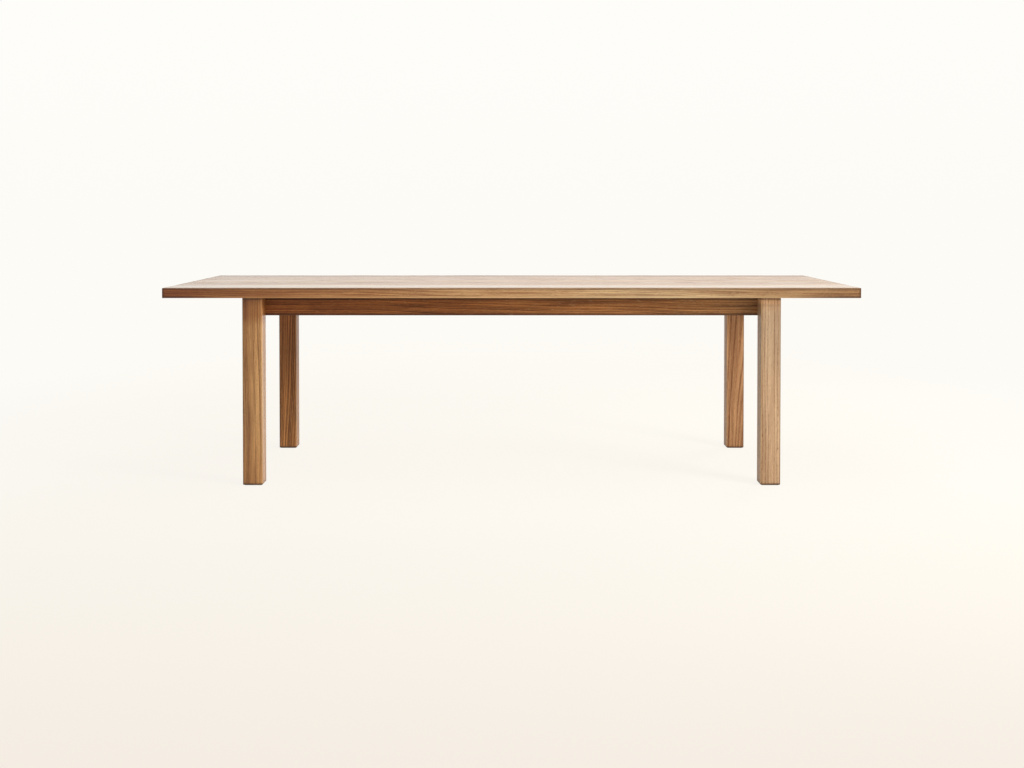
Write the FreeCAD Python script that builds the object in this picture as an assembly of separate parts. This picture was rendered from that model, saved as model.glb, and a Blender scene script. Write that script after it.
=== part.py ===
import FreeCAD, Part
import math
import os

# Dining table in solid oak.
#
# Seven boards, glued edge to edge on loose tongues, make the top. Each end is a glued frame: a front leg and a back
# leg joined by an end rail with haunched mortise-and-tenon joints. Two long rails lie against the inner faces of
# the legs: their ends sit in housings in the end rails, and a hanger bolt in each leg draws them tight. Two cross
# bearers are dovetailed into the long rails. Wooden buttons in the rails and screws in slotted holes in the bearers
# hold the top down and leave it free to swell and shrink.
#
# Millimetres. X runs along the table, Y across it towards the back, Z up. The origin is on the floor, under the
# middle of the top.

# ---- Whole table ----
table_length = 2642.0
table_width = 1016.0
table_height = 762.0

# ---- Top ----
top_thickness = 38.0
board_count = 7
top_arris = 2.0

tongue_thickness = 6.0
tongue_reach = 12.0             # into each of the two boards that it joins
tongue_clearance = 0.2
groove_end_margin = 60.0        # wood left whole between a groove and the end of the top
groove_cutter_radius = 50.0     # slot cutter, which leaves the rounded ends of a groove

# ---- Legs ----
leg_side = 76.0
leg_end_inset = 290.0           # end of the top to the outer face of a leg
leg_edge_inset = 63.5           # long edge of the top to the outer face of a leg
leg_arris = 2.0
foot_chamfer = 2.5
glide_thickness = 2.0           # square plastic glide under the foot of a leg
glide_margin = 6.0              # face of the leg to the edge of its glide
glide_chamfer = 0.8

# ---- Rails ----
rail_height = 76.0
rail_arris = 1.5
long_rail_thickness = 28.0
end_rail_thickness = 28.0
end_rail_setback = 8.0          # outer face of a leg to the outer face of the end rail
rail_housing_depth = 6.0        # housing in the end rail for the end of a long rail
rail_housing_clearance = 0.3

# ---- Mortise and tenon between leg and end rail ----
tenon_thickness = 11.0
tenon_length = 50.0
tenon_lower_shoulder = 6.0
tenon_tip_chamfer = 1.5
haunch_height = 18.0            # top of the rail down to the full-length tenon
haunch_length = 11.0
glue_line = 0.1
mortise_bottom_gap = 1.5

# ---- Cross bearers and their dovetails ----
bearer_spacing = 660.0          # middle of one bearer to the middle of the other
bearer_width = 70.0
bearer_thickness = 24.0
dovetail_length = 16.0
dovetail_root_width = 50.0
dovetail_slope = 1 / 6
dovetail_clearance = 0.1

# ---- Buttons that hold the top to the rails ----
button_width = 30.0
button_thickness = 22.0
button_body_length = 38.0
button_tongue_reach = 10.0
button_tongue_thickness = 10.0
button_shoulder_gap = 3.0       # room for the top to move across the long rails
button_heel_chamfer = 4.0
button_mortise_clearance = 0.5

# ---- Hexagon-head wood screws, drawn as plain shanks as thick as their core ----
screw_core_radius = 2.2
screw_bite = 14.0               # length of screw in the top
screw_hole_clearance = 0.9
pilot_clearance = 0.1
screw_head_across_flats = 10.0
screw_head_height = 4.0
bearer_screw_spacing = 510.0    # between the two screws of a bearer
bearer_slot_travel = 8.0        # room for the top to move along the bearers

# ---- Hanger bolts between long rails and legs ----
bolt_radius = 5.0
bolt_length_in_leg = 42.0
bolt_length_past_nut = 3.0
bolt_bore_clearance = 0.1       # in the leg and in the nut
bolt_hole_clearance = 0.5       # in the rail and in the washer
washer_side = 30.0
washer_thickness = 3.0
nut_across_flats = 17.0
nut_height = 8.0

# ---- Levels and lines that the pieces share ----
underside = table_height - top_thickness
rail_bottom = underside - rail_height
rail_middle = underside - rail_height / 2
leg_outer_x = table_length / 2 - leg_end_inset
leg_inner_x = leg_outer_x - leg_side
leg_outer_y = table_width / 2 - leg_edge_inset
leg_inner_y = leg_outer_y - leg_side
end_rail_outer_x = leg_outer_x - end_rail_setback
end_rail_inner_x = end_rail_outer_x - end_rail_thickness
end_rail_middle_x = end_rail_outer_x - end_rail_thickness / 2
housing_bottom_x = end_rail_inner_x + rail_housing_depth
long_rail_end_x = housing_bottom_x - rail_housing_clearance
long_rail_inner_y = leg_inner_y - long_rail_thickness
board_width = table_width / board_count
tenon_top = underside - haunch_height
tenon_bottom = rail_bottom + tenon_lower_shoulder
bolt_x = (leg_inner_x + end_rail_inner_x) / 2
bolt_length_outside_leg = long_rail_thickness + washer_thickness + nut_height + bolt_length_past_nut
button_bottom = underside - button_thickness
button_tongue_top = button_bottom + button_tongue_thickness
button_screw_offset = button_shoulder_gap + button_body_length / 2
bearer_x = bearer_spacing / 2
bearer_bottom = underside - bearer_thickness

# Along a long rail, a button stands in the middle of each bay that the bearers leave. The one button of an end rail
# stands at the middle of the width, where the top stays still while its two sides move.
outer_bay_middle = (bearer_x + end_rail_inner_x) / 2
long_rail_button_places = (-outer_bay_middle, 0.0, outer_bay_middle)

RIGHT = FreeCAD.Vector(1, 0, 0)
BACK = FreeCAD.Vector(0, 1, 0)
UP = FreeCAD.Vector(0, 0, 1)
CENTRE = FreeCAD.Vector(0, 0, 0)


def block(x_ends, y_ends, z_ends):
    """Plain block between two ends along each axis."""
    corner = FreeCAD.Vector(x_ends[0], y_ends[0], z_ends[0])
    return Part.makeBox(x_ends[1] - x_ends[0], y_ends[1] - y_ends[0], z_ends[1] - z_ends[0], corner)


def extruded(corners, direction):
    """Solid pushed out of a closed straight-sided outline."""
    outline = Part.makePolygon(corners + corners[:1])
    return Part.Face(outline).extrude(direction)


def hexagon(across_flats, height):
    """Six-sided prism that stands on Z = 0."""
    corner_radius = across_flats / math.sqrt(3)
    corners = []
    for step in range(6):
        angle = math.radians(60 * step)
        corners.append(FreeCAD.Vector(corner_radius * math.cos(angle), corner_radius * math.sin(angle), 0))
    return extruded(corners, UP * height)


def rod(radius, length, x, y, z, direction=UP):
    """Round bar or drill hole from a point in a direction."""
    return Part.makeCylinder(radius, length, FreeCAD.Vector(x, y, z), direction)


def placed(shape, x, y, z, turn=FreeCAD.Rotation()):
    """Copy of a shape, turned about the origin and then moved."""
    copy = shape.copy()
    copy.Placement = FreeCAD.Placement(FreeCAD.Vector(x, y, z), turn)
    return copy


def edges_where(shape, wanted):
    """Edges whose bounding box passes a test."""
    return [edge for edge in shape.Edges if wanted(edge.BoundBox)]


def near(value, target):
    return abs(value - target) < 1e-4


def mirrored(shape, across):
    """The same shape on the other side of the table."""
    return shape.mirror(CENTRE, across)


# ---- Top ----

def tongue_slot(y_joint, reach, shortening, thickness):
    """Flat slot in the middle of the top with the rounded ends that a slot cutter leaves in both boards."""
    straight_end = table_length / 2 - groove_end_margin - groove_cutter_radius - shortening
    centre_offset = groove_cutter_radius - reach
    run_out = math.sqrt(groove_cutter_radius ** 2 - centre_offset ** 2)
    half_angle = math.atan2(run_out, centre_offset) / 2
    mid_run = groove_cutter_radius * math.sin(half_angle)
    mid_reach = groove_cutter_radius * math.cos(half_angle) - centre_offset
    level = underside + (top_thickness - thickness) / 2

    def point(along, across):
        return FreeCAD.Vector(along, y_joint + across, level)

    edges = []
    for side in (1, -1):
        tip_from = point(-side * (straight_end + run_out), 0)
        tip_to = point(side * (straight_end + run_out), 0)
        start = point(-side * straight_end, side * reach)
        end = point(side * straight_end, side * reach)
        edges.append(Part.Arc(tip_from, point(-side * (straight_end + mid_run), side * mid_reach), start).toShape())
        edges.append(Part.LineSegment(start, end).toShape())
        edges.append(Part.Arc(end, point(side * (straight_end + mid_run), side * mid_reach), tip_to).toShape())
    return Part.Face(Part.Wire(edges)).extrude(UP * thickness)


def glued_top():
    """The top as one sanded slab with eased edges and the pilot holes for every screw that enters it."""
    slab = block((-table_length / 2, table_length / 2), (-table_width / 2, table_width / 2),
                 (underside, table_height))
    slab = slab.makeFillet(top_arris, edges_where(slab, lambda box: near(box.ZLength, 0)))
    pilots = []
    for x, y in button_screw_points() + bearer_screw_points():
        pilots.append(rod(screw_core_radius + pilot_clearance, screw_bite + pilot_clearance, x, y, underside))
    return slab.cut(pilots)


def top_boards():
    """The seven boards, front to back, and the tongues in their joints."""
    slab = glued_top()
    grooves = []
    tongues = []
    for joint in range(1, board_count):
        y_joint = joint * board_width - table_width / 2
        grooves.append(tongue_slot(y_joint, tongue_reach + tongue_clearance, 0,
                                   tongue_thickness + 2 * tongue_clearance))
        tongues.append(tongue_slot(y_joint, tongue_reach, tongue_clearance, tongue_thickness))
    slab = slab.cut(grooves)
    boards = []
    for place in range(board_count):
        front = place * board_width - table_width / 2
        strip = block((-table_length, table_length), (front, front + board_width), (0, 2 * table_height))
        boards.append(slab.common(strip))
    return boards, tongues


# ---- End frames ----

def mortise():
    """Slot in the inner face of the back right leg for the tenon, open at the top for the haunch."""
    half_width = tenon_thickness / 2 + glue_line
    x_ends = (end_rail_middle_x - half_width, end_rail_middle_x + half_width)
    deep = block(x_ends, (leg_inner_y, leg_inner_y + tenon_length + mortise_bottom_gap),
                 (tenon_bottom - glue_line, tenon_top + glue_line))
    shallow = block(x_ends, (leg_inner_y, leg_inner_y + haunch_length + mortise_bottom_gap),
                    (tenon_top, underside))
    return deep.fuse(shallow)


def leg():
    """Back right leg."""
    post = block((leg_inner_x, leg_outer_x), (leg_inner_y, leg_outer_y), (glide_thickness, underside))
    post = post.makeChamfer(foot_chamfer, edges_where(post, lambda box: near(box.ZMax, glide_thickness)))
    post = post.makeFillet(leg_arris, edges_where(post, lambda box: box.ZLength > leg_side))
    bolt_bore = rod(bolt_radius + bolt_bore_clearance, bolt_length_in_leg + bolt_bore_clearance,
                    bolt_x, leg_inner_y, rail_middle, BACK)
    return post.cut([mortise(), bolt_bore])


def foot_glide():
    """Square glide under the back right leg, with its sole eased."""
    glide = block((leg_inner_x + glide_margin, leg_outer_x - glide_margin),
                  (leg_inner_y + glide_margin, leg_outer_y - glide_margin), (0, glide_thickness))
    return glide.makeChamfer(glide_chamfer, edges_where(glide, lambda box: near(box.ZMax, 0)))


def tenon():
    """Haunched tenon on the back end of the right end rail."""
    x_ends = (end_rail_middle_x - tenon_thickness / 2, end_rail_middle_x + tenon_thickness / 2)
    tip = leg_inner_y + tenon_length
    tongue = block(x_ends, (leg_inner_y, tip), (tenon_bottom, tenon_top))
    tongue = tongue.makeChamfer(tenon_tip_chamfer, edges_where(tongue, lambda box: near(box.YMin, tip)))
    haunch = block(x_ends, (leg_inner_y, leg_inner_y + haunch_length), (tenon_top, underside))
    return tongue.fuse(haunch)


def lower_edges_along(rail, length_of):
    """Long lower edges of a rail; length_of reads the rail's own direction from a bounding box."""
    return edges_where(rail, lambda box: near(box.ZMax, rail_bottom) and length_of(box) > rail_height)


def button_mortise():
    """Mortise for the tongue of a button, in a rail whose inner face is the plane X = 0 and lies on the +X side."""
    half_width = button_width / 2 + button_mortise_clearance
    return block((0, button_tongue_reach + button_mortise_clearance), (-half_width, half_width),
                 (button_bottom - button_mortise_clearance, button_tongue_top))


def end_rail():
    """Right end rail: a haunched tenon at each end, housings for the long rails, and a mortise for its button."""
    rail = block((end_rail_inner_x, end_rail_outer_x), (-leg_inner_y, leg_inner_y), (rail_bottom, underside))
    rail = rail.makeFillet(rail_arris, lower_edges_along(rail, lambda box: box.YLength))
    housing = block((end_rail_inner_x, housing_bottom_x),
                    (long_rail_inner_y - rail_housing_clearance, leg_inner_y), (rail_bottom, underside))
    back_tenon = tenon()
    rail = rail.cut([housing, mirrored(housing, BACK), placed(button_mortise(), end_rail_inner_x, 0, 0)])
    return rail.fuse([back_tenon, mirrored(back_tenon, BACK)]).removeSplitter()


# ---- Long rails and cross bearers ----

def dovetail(clearance):
    """Dovetail on the back end of the right bearer, or its socket when given a clearance."""
    root = dovetail_root_width / 2 + clearance
    tip = root + dovetail_length * dovetail_slope
    root_y = long_rail_inner_y
    tip_y = long_rail_inner_y + dovetail_length + clearance
    corners = [FreeCAD.Vector(bearer_x - root, root_y, bearer_bottom),
               FreeCAD.Vector(bearer_x + root, root_y, bearer_bottom),
               FreeCAD.Vector(bearer_x + tip, tip_y, bearer_bottom),
               FreeCAD.Vector(bearer_x - tip, tip_y, bearer_bottom)]
    return extruded(corners, UP * bearer_thickness)


def long_rail():
    """Back long rail, against the inner faces of the back legs."""
    rail = block((-long_rail_end_x, long_rail_end_x), (long_rail_inner_y, leg_inner_y), (rail_bottom, underside))
    rail = rail.makeFillet(rail_arris, lower_edges_along(rail, lambda box: box.XLength))
    socket = dovetail(dovetail_clearance)
    cuts = [socket, mirrored(socket, RIGHT)]
    for x in (-bolt_x, bolt_x):
        cuts.append(rod(bolt_radius + bolt_hole_clearance, long_rail_thickness,
                        x, long_rail_inner_y, rail_middle, BACK))
    for x in long_rail_button_places:
        cuts.append(placed(button_mortise(), x, long_rail_inner_y, 0, FreeCAD.Rotation(UP, 90)))
    return rail.cut(cuts)


def screw_slot(x, y):
    """Vertical hole through a bearer, stretched along Y by the room that the top needs."""
    radius = screw_core_radius + screw_hole_clearance
    front = y - bearer_slot_travel / 2
    back = y + bearer_slot_travel / 2
    ends = [rod(radius, bearer_thickness, x, front, bearer_bottom),
            rod(radius, bearer_thickness, x, back, bearer_bottom)]
    straight = block((x - radius, x + radius), (front, back), (bearer_bottom, underside))
    return straight.fuse(ends).removeSplitter()


def cross_bearer():
    """Right cross bearer: a flat bar with a dovetail at each end and two slots for its screws."""
    bar = block((bearer_x - bearer_width / 2, bearer_x + bearer_width / 2),
                (-long_rail_inner_y, long_rail_inner_y), (bearer_bottom, underside))
    long_lower_edges = edges_where(bar, lambda box: near(box.ZMax, bearer_bottom) and near(box.XLength, 0))
    bar = bar.makeFillet(rail_arris, long_lower_edges)
    back_dovetail = dovetail(0)
    bar = bar.fuse([back_dovetail, mirrored(back_dovetail, BACK)]).removeSplitter()
    return bar.cut([screw_slot(x, y) for x, y in bearer_screw_points() if x > 0])


# ---- Buttons and screws that hold the top ----

def button():
    """Button for the same rail as its mortise: the tongue points to +X and the body lies on the -X side."""
    heel = -button_shoulder_gap - button_body_length
    outline = [(button_tongue_reach, button_bottom), (button_tongue_reach, button_tongue_top),
               (-button_shoulder_gap, button_tongue_top), (-button_shoulder_gap, underside), (heel, underside),
               (heel, button_bottom + button_heel_chamfer), (heel + button_heel_chamfer, button_bottom)]
    corners = [FreeCAD.Vector(x, -button_width / 2, z) for x, z in outline]
    body = extruded(corners, BACK * button_width)
    return body.cut(rod(screw_core_radius + screw_hole_clearance, button_thickness,
                        -button_screw_offset, 0, button_bottom))


def button_seats():
    """Where each button sits: a point on the inner face of its rail, and the button's angle about Z."""
    seats = [(end_rail_inner_x, 0, 0), (-end_rail_inner_x, 0, 180)]
    for x in long_rail_button_places:
        seats.append((x, long_rail_inner_y, 90))
        seats.append((x, -long_rail_inner_y, -90))
    return seats


def top_buttons():
    return [placed(button(), x, y, 0, FreeCAD.Rotation(UP, angle)) for x, y, angle in button_seats()]


def button_screw_points():
    points = []
    for x, y, angle in button_seats():
        points.append((x - button_screw_offset * math.cos(math.radians(angle)),
                       y - button_screw_offset * math.sin(math.radians(angle))))
    return points


def bearer_screw_points():
    half_spacing = bearer_screw_spacing / 2
    return [(x, y) for x in (-bearer_x, bearer_x) for y in (-half_spacing, half_spacing)]


def wood_screws(points, seat_level):
    """Screws driven up into the top, with the undersides of their heads at the seat level."""
    head = placed(hexagon(screw_head_across_flats, screw_head_height), 0, 0, -screw_head_height)
    screw = head.fuse(rod(screw_core_radius, underside - seat_level + screw_bite, 0, 0, 0)).removeSplitter()
    return [placed(screw, x, y, seat_level) for x, y in points]


# ---- Hanger bolts between long rails and legs ----

def at_every_bolt(pattern, distance_from_leg_face):
    """Copies of a piece on the axis of each hanger bolt, pointing into the leg."""
    copies = []
    for x in (-bolt_x, bolt_x):
        for side in (-1, 1):
            y = side * (leg_inner_y - distance_from_leg_face)
            copies.append(placed(pattern, x, y, rail_middle, FreeCAD.Rotation(UP, BACK * side)))
    return copies


def hanger_bolts():
    bolt = rod(bolt_radius, bolt_length_outside_leg + bolt_length_in_leg, 0, 0, 0)
    return at_every_bolt(bolt, bolt_length_outside_leg)


def bolt_washers():
    half_side = washer_side / 2
    plate = block((-half_side, half_side), (-half_side, half_side), (0, washer_thickness))
    hole = rod(bolt_radius + bolt_hole_clearance, washer_thickness, 0, 0, 0)
    return at_every_bolt(plate.cut(hole), long_rail_thickness + washer_thickness)


def bolt_nuts():
    hole = rod(bolt_radius + bolt_bore_clearance, nut_height, 0, 0, 0)
    nut = hexagon(nut_across_flats, nut_height).cut(hole)
    return at_every_bolt(nut, long_rail_thickness + washer_thickness + nut_height)


# ---- Pieces by name ----

def at_four_corners(name, shape):
    """The back right piece and its three mirror images."""
    left = mirrored(shape, RIGHT)
    return {name + "_back_right": shape, name + "_back_left": left,
            name + "_front_right": mirrored(shape, BACK), name + "_front_left": mirrored(left, BACK)}


pieces = {}
boards, tongues = top_boards()
for number, board in enumerate(boards, start=1):
    pieces["top_board_" + str(number)] = board
pieces["top_tongues"] = Part.makeCompound(tongues)

pieces.update(at_four_corners("leg", leg()))
pieces.update(at_four_corners("foot_glide", foot_glide()))
pieces["end_rail_right"] = end_rail()
pieces["end_rail_left"] = mirrored(pieces["end_rail_right"], RIGHT)
pieces["long_rail_back"] = long_rail()
pieces["long_rail_front"] = mirrored(pieces["long_rail_back"], BACK)
pieces["cross_bearer_right"] = cross_bearer()
pieces["cross_bearer_left"] = mirrored(pieces["cross_bearer_right"], RIGHT)

pieces["top_buttons"] = Part.makeCompound(top_buttons())
pieces["button_screws"] = Part.makeCompound(wood_screws(button_screw_points(), button_bottom))
pieces["bearer_screws"] = Part.makeCompound(wood_screws(bearer_screw_points(), bearer_bottom))
pieces["hanger_bolts"] = Part.makeCompound(hanger_bolts())
pieces["bolt_washers"] = Part.makeCompound(bolt_washers())
pieces["bolt_nuts"] = Part.makeCompound(bolt_nuts())

os.makedirs("parts", exist_ok=True)
for name, shape in pieces.items():
    shape.exportStep("parts/" + name + ".step")
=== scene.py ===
import bmesh
import bpy
import collections
import math
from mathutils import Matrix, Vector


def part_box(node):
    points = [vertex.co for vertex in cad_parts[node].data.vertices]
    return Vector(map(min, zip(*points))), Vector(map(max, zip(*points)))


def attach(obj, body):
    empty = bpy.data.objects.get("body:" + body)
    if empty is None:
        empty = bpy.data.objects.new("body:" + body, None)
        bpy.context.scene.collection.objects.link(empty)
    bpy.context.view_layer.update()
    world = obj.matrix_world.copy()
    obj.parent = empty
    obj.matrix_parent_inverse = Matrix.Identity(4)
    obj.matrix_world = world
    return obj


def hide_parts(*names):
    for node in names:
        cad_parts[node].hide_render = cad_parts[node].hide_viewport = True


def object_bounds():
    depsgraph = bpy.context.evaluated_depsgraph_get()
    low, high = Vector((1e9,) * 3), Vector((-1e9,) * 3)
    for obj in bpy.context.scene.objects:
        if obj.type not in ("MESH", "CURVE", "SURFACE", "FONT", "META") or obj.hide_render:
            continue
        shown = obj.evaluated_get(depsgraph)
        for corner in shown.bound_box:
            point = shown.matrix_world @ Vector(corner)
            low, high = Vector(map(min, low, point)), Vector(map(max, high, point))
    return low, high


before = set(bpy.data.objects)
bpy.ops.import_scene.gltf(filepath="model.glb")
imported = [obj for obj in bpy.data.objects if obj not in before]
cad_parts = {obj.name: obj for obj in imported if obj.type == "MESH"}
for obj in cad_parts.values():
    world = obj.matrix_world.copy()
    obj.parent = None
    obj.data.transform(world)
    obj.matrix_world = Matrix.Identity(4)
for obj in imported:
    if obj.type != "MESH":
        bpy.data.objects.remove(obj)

cad_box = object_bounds()
scene = bpy.context.scene

MM = 0.001
TOP_BOARDS = ["top_board_%d" % number for number in range(1, 8)]
LEGS = ["leg_front_left", "leg_front_right", "leg_back_left", "leg_back_right"]
GLIDES = ["foot_glide_front_left", "foot_glide_front_right", "foot_glide_back_left", "foot_glide_back_right"]

# Sockets of the Mix node when it mixes colours.
MIX_A = 6
MIX_B = 7
MIXED = 2


# ---- Colours and nodes ----

def linear(hex_colour):
    """sRGB hex, such as "B98B5A", to the linear colour that nodes and lamps take."""
    channels = [int(hex_colour[start:start + 2], 16) / 255 for start in (0, 2, 4)]
    return tuple(c / 12.92 if c <= 0.04045 else ((c + 0.055) / 1.055) ** 2.4 for c in channels) + (1.0,)


def add(tree, kind, inputs=(), out=0, **settings):
    """Adds a node and returns one of its output sockets, which leads back to the node. Settings are the
    node's properties; inputs give each input socket a value or a socket to link from.
    """
    node = tree.nodes.new("ShaderNode" + kind)
    for name, value in settings.items():
        setattr(node, name, value)
    for socket, value in dict(inputs).items():
        if isinstance(value, bpy.types.NodeSocket):
            tree.links.new(value, node.inputs[socket])
        else:
            node.inputs[socket].default_value = value
    return node.outputs[out] if node.outputs else None


def long_marks(tree, place, length, width, noise, out="Fac"):
    """Noise in marks this long along the grain and this wide both ways across it (mm)."""
    repeats_per_metre = (1 / (length * MM), 1 / (width * MM), 1 / (width * MM))
    stretched = add(tree, "VectorMath", {0: place, 1: repeats_per_metre}, operation="MULTIPLY")
    return add(tree, "TexNoise", {"Vector": stretched, "Scale": 1.0, **noise}, out=out)


def new_material(name):
    material = bpy.data.materials.new(name)
    material.use_nodes = True
    material.node_tree.nodes.clear()
    return material


def dress(node_name, material):
    """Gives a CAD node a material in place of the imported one."""
    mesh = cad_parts[node_name].data
    mesh.materials.clear()
    mesh.materials.append(material)


def edge_band(tree, place, box, width):
    """1 on the long edges of a box-shaped piece and 0 on its faces, over a width in metres."""
    low, high = box
    centre = [(a + b) / 2 for a, b in zip(low, high)]
    half = [(b - a) / 2 for a, b in zip(low, high)]
    offset = add(tree, "VectorMath", {0: place, 1: centre}, operation="SUBTRACT")
    offset = add(tree, "VectorMath", {0: offset}, operation="ABSOLUTE")
    offset = add(tree, "VectorMath", {0: offset, 1: half}, operation="SUBTRACT")
    x, y, z = add(tree, "SeparateXYZ", {0: offset}).node.outputs
    # The middle one of the three depths is near 0 only where two faces meet. It is what their sum keeps when
    # the highest and the lowest are taken away.
    middle = add(tree, "VectorMath", {0: offset, 1: (1.0, 1.0, 1.0)}, out="Value", operation="DOT_PRODUCT")
    for extreme in ("MAXIMUM", "MINIMUM"):
        depth = add(tree, "Math", {0: x, 1: y}, operation=extreme)
        depth = add(tree, "Math", {0: depth, 1: z}, operation=extreme)
        middle = add(tree, "Math", {0: middle, 1: depth}, operation="SUBTRACT")
    return add(tree, "MapRange", {"Value": middle, "From Min": -width, "From Max": 0.0},
               interpolation_type="SMOOTHSTEP")


# ---- Oak: how it grew and was sawn ----

GRAIN_FIRST = {"X": ("X", "Y", "Z"), "Y": ("Y", "X", "Z"), "Z": ("Z", "X", "Y")}

# How a piece was sawn from its log: the axis its grain runs along, where the pith lies across the grain
# (mm), how far along the log it starts (m), the gap between rings and how far the pith sways (mm), the
# colours of pale and dark wood in it, and the taper of the trunk that it keeps (mm per m), which is little
# where it was sawn along the bark.
Cut = collections.namedtuple("Cut", "grain pith start ring_gap sway pale dark taper", defaults=(22,))

# What shows at each point of sawn oak: the dark wood that a ring starts with, how dark that ring is, the run
# of rings that it belongs to, and the streaks, fibres, open pores and medullary rays.
Figure = collections.namedtuple("Figure", "early ring_tone runs streaks fibres pores rays")


def place_in_tree(tree, cut, axes):
    """Where each point of a piece grew: its place from the pith, with the grain first, and its radius."""
    along, across_one, across_two = GRAIN_FIRST[cut.grain]
    turned = add(tree, "CombineXYZ", {"X": axes[along], "Y": axes[across_one], "Z": axes[across_two]})
    pith = (-cut.start, cut.pith[0] * MM, cut.pith[1] * MM)
    in_log = add(tree, "VectorMath", {0: turned, 1: pith}, operation="SUBTRACT")
    length = add(tree, "SeparateXYZ", {0: in_log}, out="X")
    # The pith of a tree is never straight. It sways in waves 770 mm long, and mostly sideways here, which
    # keeps cathedrals long and open.
    wander = add(tree, "TexNoise", {"W": length, "Scale": 1 / (770 * MM), "Detail": 1.5, "Roughness": 0.4},
                 out="Color", noise_dimensions="1D")
    # Rings also bulge and pinch by a few millimetres over stretches 625 mm long and 58.8 mm wide.
    bulge = long_marks(tree, in_log, 625, 58.8, {"Detail": 3.0, "Roughness": 0.5}, out="Color")
    from_pith = in_log
    for shift, sideways, upright in ((wander, 1.0, 0.3), (bulge, 0.18, 0.18)):
        reach = (0.0, cut.sway * sideways * MM, cut.sway * upright * MM)
        shift = add(tree, "VectorMath", {0: shift, 1: (0.5, 0.5, 0.5)}, operation="SUBTRACT")
        shift = add(tree, "VectorMath", {0: shift, 1: reach}, operation="MULTIPLY")
        from_pith = add(tree, "VectorMath", {0: from_pith, 1: shift}, operation="ADD")
    across = add(tree, "VectorMath", {0: from_pith, 1: (0.0, 1.0, 1.0)}, operation="MULTIPLY")
    radius = add(tree, "VectorMath", {0: across}, out="Value", operation="LENGTH")
    # A trunk tapers, so rings are long cones, and a flat-sawn face cuts them into pointed cathedrals.
    radius = add(tree, "Math", {0: length, 1: cut.taper * MM, 2: radius}, operation="MULTIPLY_ADD")
    return from_pith, radius


def year_rings(tree, cut, radius):
    """Rings are shells round the pith, so faces show cathedrals or straight grain and ends show arcs. Oak is
    ring porous: each ring starts with a dark band of open pores and ends in dense, paler late wood.
    """
    # Good and bad summers: the gap between rings swells and shrinks.
    rings = add(tree, "Math", {0: radius, 1: cut.ring_gap * MM}, operation="DIVIDE")
    summers = add(tree, "TexNoise", {"W": rings, "Scale": 0.31, "Detail": 1.0}, out="Fac",
                  noise_dimensions="1D")
    rings = add(tree, "Math", {0: summers, 1: 3.0, 2: rings}, operation="MULTIPLY_ADD")
    ring_age = add(tree, "Math", {0: rings}, operation="FRACT")
    ring_number = add(tree, "Math", {0: rings}, operation="FLOOR")
    ring_tone = add(tree, "TexWhiteNoise", {"W": ring_number}, out="Value", noise_dimensions="1D")
    early = add(tree, "ValToRGB", {"Fac": ring_age})
    ramp = early.node.color_ramp
    ramp.elements[0].color = (0.30, 0.30, 0.30, 1)
    ramp.elements[1].color = (0.22, 0.22, 0.22, 1)
    for age, level in ((0.06, 1.0), (0.22, 0.80), (0.45, 0.14), (0.72, 0.0)):
        ramp.elements.new(age).color = (level, level, level, 1)
    # Runs of three to six rings grew darker or paler.
    runs = add(tree, "TexNoise", {"W": rings, "Scale": 0.34, "Detail": 3.0, "Roughness": 0.7}, out="Fac",
               noise_dimensions="1D")
    return early, ring_tone, runs


def ray_flecks(tree, from_pith, radius):
    """Medullary rays are radial plates, 22 mm long, 14 mm deep and a fraction of a millimetre thick, that
    flash as pale flecks on quarter-sawn faces. They widen outward, and are drawn 1 mm thick at 210 mm from
    the pith, which is coarser than they are, to show.
    """
    plates_per_radian = 210 / 1
    repeats = (1 / (22 * MM), plates_per_radian, 1 / (14 * MM))
    parts = add(tree, "SeparateXYZ", {0: from_pith}).node.outputs
    angle = add(tree, "Math", {0: parts["Y"], 1: parts["Z"]}, operation="ARCTAN2")
    round_pith = add(tree, "CombineXYZ", {"X": parts["X"], "Y": angle, "Z": radius})
    round_pith = add(tree, "VectorMath", {0: round_pith, 1: repeats}, operation="MULTIPLY")
    rays = add(tree, "TexNoise", {"Vector": round_pith, "Scale": 1.0, "Detail": 1.0}, out="Fac")
    return add(tree, "MapRange", {"Value": rays, "From Min": 0.64, "From Max": 0.76})


def open_pores(tree, from_pith, early):
    """Pores crowd where a ring starts. They are 0.3 mm wide, but drawn 0.6 mm wide and 14 mm long to show.
    """
    pores = long_marks(tree, from_pith, 14, 0.6, {"Detail": 1.0})
    pore_limit = add(tree, "MapRange", {"Value": early, "To Min": 0.66, "To Max": 0.50})
    pores = add(tree, "Math", {0: pores, 1: pore_limit}, operation="SUBTRACT")
    return add(tree, "MapRange", {"Value": pores, "From Max": 0.09})


def oak_figure(tree, cut, from_pith, radius):
    early, ring_tone, runs = year_rings(tree, cut, radius)
    # Streaks in the heartwood are 385 mm long and 16 mm wide on average.
    streaks = long_marks(tree, from_pith, 385, 16.13, {"Detail": 4.0, "Roughness": 0.68, "Distortion": 0.25})
    # Single fibres are too fine to show; they are drawn in bundles 62.5 mm long and 1.25 mm wide.
    fibres = long_marks(tree, from_pith, 62.5, 1.25, {"Detail": 3.0, "Roughness": 0.65})
    pores = open_pores(tree, from_pith, early)
    rays = ray_flecks(tree, from_pith, radius)
    return Figure(early, ring_tone, runs, streaks, fibres, pores, rays)


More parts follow.
